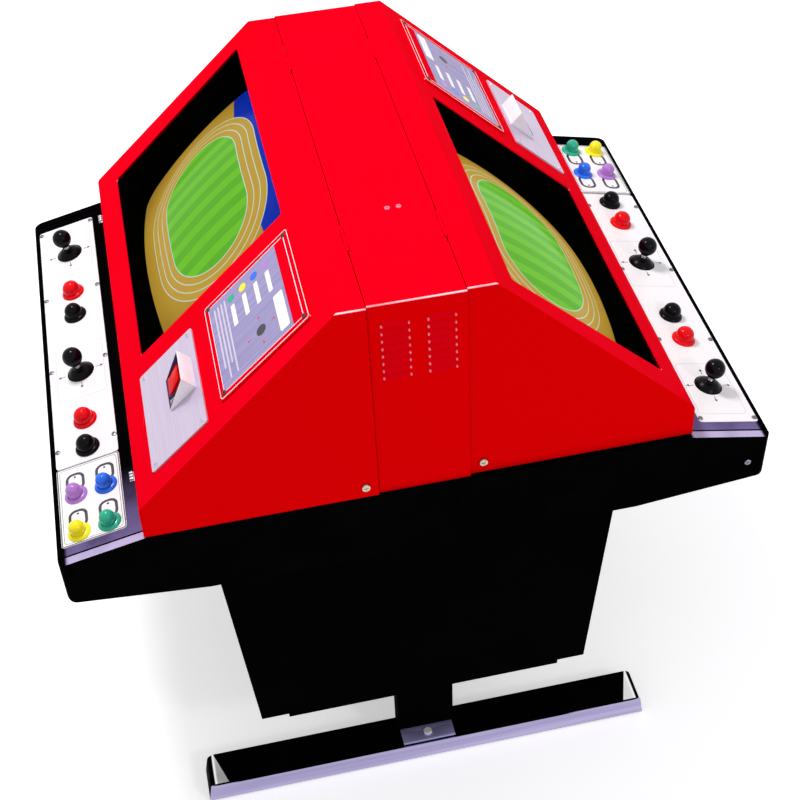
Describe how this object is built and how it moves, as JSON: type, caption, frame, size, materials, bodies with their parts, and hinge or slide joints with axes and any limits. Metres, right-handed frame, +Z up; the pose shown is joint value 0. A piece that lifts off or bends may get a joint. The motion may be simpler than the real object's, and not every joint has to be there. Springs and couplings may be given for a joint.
{
  "type": "cocktail table arcade cabinet",
  "caption": "Cocktail table arcade cabinet: red tent with sloping monitor windows in hinged shells, black winged table with sticks and buttons, pedestal on bar feet.",
  "frame": {"origin": "on the floor under the middle of the cabinet", "axes": "+Z up, +X across the table to the right-hand players' wing, +Y along the ridge, away from the pictured gable"},
  "size_m": [1.048, 0.809, 1.0611],
  "materials": {
    "black_laminate": "black laminate on board, semi-gloss",
    "black_metal": "black enamel",
    "black_foot": "glossy black foot bar",
    "chrome": "bright plated",
    "red_paint": "glossy red enamel on sheet steel",
    "grey_steel": "plain steel",
    "tube_glass": "curved picture tube",
    "black_surround": "matt black surround",
    "white_panel": "white painted plate",
    "select_panel": "pale painted plate",
    "button_rim": "glossy rim",
    "switch_plastic": "black plastic",
    "bright_screw": "plated screws",
    "circuit_board": "green circuit board",
    "window_glass": "clear pane",
    "card_plastic": "clear cover over a pale card",
    "coin_aluminium": "brushed plate",
    "white_plastic": "white moulding",
    "coin_red": "lit red push piece",
    "black_ball": "black ball on a steel shaft",
    "button_red": "glossy red",
    "button_black": "glossy black",
    "select_purple": "clear purple",
    "select_blue": "clear blue",
    "select_yellow": "clear yellow",
    "select_teal": "clear teal"
  },
  "bodies": {
    "cabinet": {"table_body": "black_laminate", "pedestal": "black_laminate", "leg_posts": "black_metal", "foot_bars": "black_foot", "foot_chrome": "chrome", "centre_cover": "red_paint", "inner_frame": "grey_steel", "hinge_pins": "grey_steel", "monitor_tubes": "tube_glass", "monitor_bezels": "black_surround", "control_plates": "white_panel", "select_plates": "select_panel", "button_housings": "button_rim", "switches": "switch_plastic", "stick_bases": "grey_steel", "cabinet_fittings": "bright_screw", "logic_board": "circuit_board", "power_supply": "grey_steel", "speakers": "switch_plastic", "cash_box": "grey_steel"},
    "left_shell": {"left_shell": "red_paint", "left_window_pane": "window_glass", "left_card_cover": "card_plastic", "left_coin_plate": "coin_aluminium", "left_coin_hood": "white_plastic", "left_coin_mech": "grey_steel", "left_shell_screws": "bright_screw"},
    "left_coin_button": {"left_coin_button": "coin_red"},
    "left_gimbal_1": {"left_gimbal_1": "grey_steel"},
    "left_stick_1": {"left_stick_1": "black_ball"},
    "left_gimbal_2": {"left_gimbal_2": "grey_steel"},
    "left_stick_2": {"left_stick_2": "black_ball"},
    "left_red_button_1": {"left_red_button_1": "button_red"},
    "left_red_button_2": {"left_red_button_2": "button_red"},
    "left_black_button_1": {"left_black_button_1": "button_black"},
    "left_black_button_2": {"left_black_button_2": "button_black"},
    "left_purple_select": {"left_purple_select": "select_purple"},
    "left_blue_select": {"left_blue_select": "select_blue"},
    "left_yellow_select": {"left_yellow_select": "select_yellow"},
    "left_teal_select": {"left_teal_select": "select_teal"},
    "right_shell": {"right_shell": "red_paint", "right_window_pane": "window_glass", "right_card_cover": "card_plastic", "right_coin_plate": "coin_aluminium", "right_coin_hood": "white_plastic", "right_coin_mech": "grey_steel", "right_shell_screws": "bright_screw"},
    "right_coin_button": {"right_coin_button": "coin_red"},
    "right_gimbal_1": {"right_gimbal_1": "grey_steel"},
    "right_stick_1": {"right_stick_1": "black_ball"},
    "right_gimbal_2": {"right_gimbal_2": "grey_steel"},
    "right_stick_2": {"right_stick_2": "black_ball"},
    "right_red_button_1": {"right_red_button_1": "button_red"},
    "right_red_button_2": {"right_red_button_2": "button_red"},
    "right_black_button_1": {"right_black_button_1": "button_black"},
    "right_black_button_2": {"right_black_button_2": "button_black"},
    "right_purple_select": {"right_purple_select": "select_purple"},
    "right_blue_select": {"right_blue_select": "select_blue"},
    "right_yellow_select": {"right_yellow_select": "select_yellow"},
    "right_teal_select": {"right_teal_select": "select_teal"}
  },
  "joints": [
    {"name": "left_shell_lift", "type": "hinge", "parent": "cabinet", "child": "left_shell", "pos_m": [-0.067, 0, 1.0585], "axis": [0, 1, 0], "range_deg": [0, 70]},
    {"name": "left_coin_button_press", "type": "slide", "parent": "left_shell", "child": "left_coin_button", "axis": [0.6869, 0, -0.7267], "range_m": [0, 0.004], "stiffness_N_per_m": 250, "springref_m": -0.004},
    {"name": "left_stick_1_roll", "type": "hinge", "parent": "cabinet", "child": "left_gimbal_1", "pos_m": [-0.46347, 0.288, 0.70334], "axis": [0, -1, 0], "range_deg": [-10, 10], "stiffness_Nm_per_rad": 0.8},
    {"name": "left_stick_1_pitch", "type": "hinge", "parent": "left_gimbal_1", "child": "left_stick_1", "pos_m": [-0.46347, 0.288, 0.70334], "axis": [-0.9754, 0, -0.2203], "range_deg": [-10, 10], "stiffness_Nm_per_rad": 0.8},
    {"name": "left_stick_2_roll", "type": "hinge", "parent": "cabinet", "child": "left_gimbal_2", "pos_m": [-0.46347, -0.019, 0.70334], "axis": [0, -1, 0], "range_deg": [-10, 10], "stiffness_Nm_per_rad": 0.8},
    {"name": "left_stick_2_pitch", "type": "hinge", "parent": "left_gimbal_2", "child": "left_stick_2", "pos_m": [-0.46347, -0.019, 0.70334], "axis": [-0.9754, 0, -0.2203], "range_deg": [-10, 10], "stiffness_Nm_per_rad": 0.8},
    {"name": "left_red_button_1_press", "type": "slide", "parent": "cabinet", "child": "left_red_button_1", "axis": [0.2203, 0, -0.9754], "range_m": [0, 0.004], "stiffness_N_per_m": 250, "springref_m": -0.004},
    {"name": "left_red_button_2_press", "type": "slide", "parent": "cabinet", "child": "left_red_button_2", "axis": [0.2203, 0, -0.9754], "range_m": [0, 0.004], "stiffness_N_per_m": 250, "springref_m": -0.004},
    {"name": "left_black_button_1_press", "type": "slide", "parent": "cabinet", "child": "left_black_button_1", "axis": [0.2203, 0, -0.9754], "range_m": [0, 0.004], "stiffness_N_per_m": 250, "springref_m": -0.004},
    {"name": "left_black_button_2_press", "type": "slide", "parent": "cabinet", "child": "left_black_button_2", "axis": [0.2203, 0, -0.9754], "range_m": [0, 0.004], "stiffness_N_per_m": 250, "springref_m": -0.004},
    {"name": "left_purple_select_press", "type": "slide", "parent": "cabinet", "child": "left_purple_select", "axis": [0.2203, 0, -0.9754], "range_m": [0, 0.004], "stiffness_N_per_m": 250, "springref_m": -0.004},
    {"name": "left_blue_select_press", "type": "slide", "parent": "cabinet", "child": "left_blue_select", "axis": [0.2203, 0, -0.9754], "range_m": [0, 0.004], "stiffness_N_per_m": 250, "springref_m": -0.004},
    {"name": "left_yellow_select_press", "type": "slide", "parent": "cabinet", "child": "left_yellow_select", "axis": [0.2203, 0, -0.9754], "range_m": [0, 0.004], "stiffness_N_per_m": 250, "springref_m": -0.004},
    {"name": "left_teal_select_press", "type": "slide", "parent": "cabinet", "child": "left_teal_select", "axis": [0.2203, 0, -0.9754], "range_m": [0, 0.004], "stiffness_N_per_m": 250, "springref_m": -0.004},
    {"name": "right_shell_lift", "type": "hinge", "parent": "cabinet", "child": "right_shell", "pos_m": [0.067, 0, 1.0585], "axis": [0, -1, 0], "range_deg": [0, 70]},
    {"name": "right_coin_button_press", "type": "slide", "parent": "right_shell", "child": "right_coin_button", "axis": [-0.6869, 0, -0.7267], "range_m": [0, 0.004], "stiffness_N_per_m": 250, "springref_m": -0.004},
    {"name": "right_stick_1_roll", "type": "hinge", "parent": "cabinet", "child": "right_gimbal_1", "pos_m": [0.46347, -0.288, 0.70334], "axis": [0, 1, 0], "range_deg": [-10, 10], "stiffness_Nm_per_rad": 0.8},
    {"name": "right_stick_1_pitch", "type": "hinge", "parent": "right_gimbal_1", "child": "right_stick_1", "pos_m": [0.46347, -0.288, 0.70334], "axis": [0.9754, 0, -0.2203], "range_deg": [-10, 10], "stiffness_Nm_per_rad": 0.8},
    {"name": "right_stick_2_roll", "type": "hinge", "parent": "cabinet", "child": "right_gimbal_2", "pos_m": [0.46347, 0.019, 0.70334], "axis": [0, 1, 0], "range_deg": [-10, 10], "stiffness_Nm_per_rad": 0.8},
    {"name": "right_stick_2_pitch", "type": "hinge", "parent": "right_gimbal_2", "child": "right_stick_2", "pos_m": [0.46347, 0.019, 0.70334], "axis": [0.9754, 0, -0.2203], "range_deg": [-10, 10], "stiffness_Nm_per_rad": 0.8},
    {"name": "right_red_button_1_press", "type": "slide", "parent": "cabinet", "child": "right_red_button_1", "axis": [-0.2203, 0, -0.9754], "range_m": [0, 0.004], "stiffness_N_per_m": 250, "springref_m": -0.004},
    {"name": "right_red_button_2_press", "type": "slide", "parent": "cabinet", "child": "right_red_button_2", "axis": [-0.2203, 0, -0.9754], "range_m": [0, 0.004], "stiffness_N_per_m": 250, "springref_m": -0.004},
    {"name": "right_black_button_1_press", "type": "slide", "parent": "cabinet", "child": "right_black_button_1", "axis": [-0.2203, 0, -0.9754], "range_m": [0, 0.004], "stiffness_N_per_m": 250, "springref_m": -0.004},
    {"name": "right_black_button_2_press", "type": "slide", "parent": "cabinet", "child": "right_black_button_2", "axis": [-0.2203, 0, -0.9754], "range_m": [0, 0.004], "stiffness_N_per_m": 250, "springref_m": -0.004},
    {"name": "right_purple_select_press", "type": "slide", "parent": "cabinet", "child": "right_purple_select", "axis": [-0.2203, 0, -0.9754], "range_m": [0, 0.004], "stiffness_N_per_m": 250, "springref_m": -0.004},
    {"name": "right_blue_select_press", "type": "slide", "parent": "cabinet", "child": "right_blue_select", "axis": [-0.2203, 0, -0.9754], "range_m": [0, 0.004], "stiffness_N_per_m": 250, "springref_m": -0.004},
    {"name": "right_yellow_select_press", "type": "slide", "parent": "cabinet", "child": "right_yellow_select", "axis": [-0.2203, 0, -0.9754], "range_m": [0, 0.004], "stiffness_N_per_m": 250, "springref_m": -0.004},
    {"name": "right_teal_select_press", "type": "slide", "parent": "cabinet", "child": "right_teal_select", "axis": [-0.2203, 0, -0.9754], "range_m": [0, 0.004], "stiffness_N_per_m": 250, "springref_m": -0.004}
  ]
}
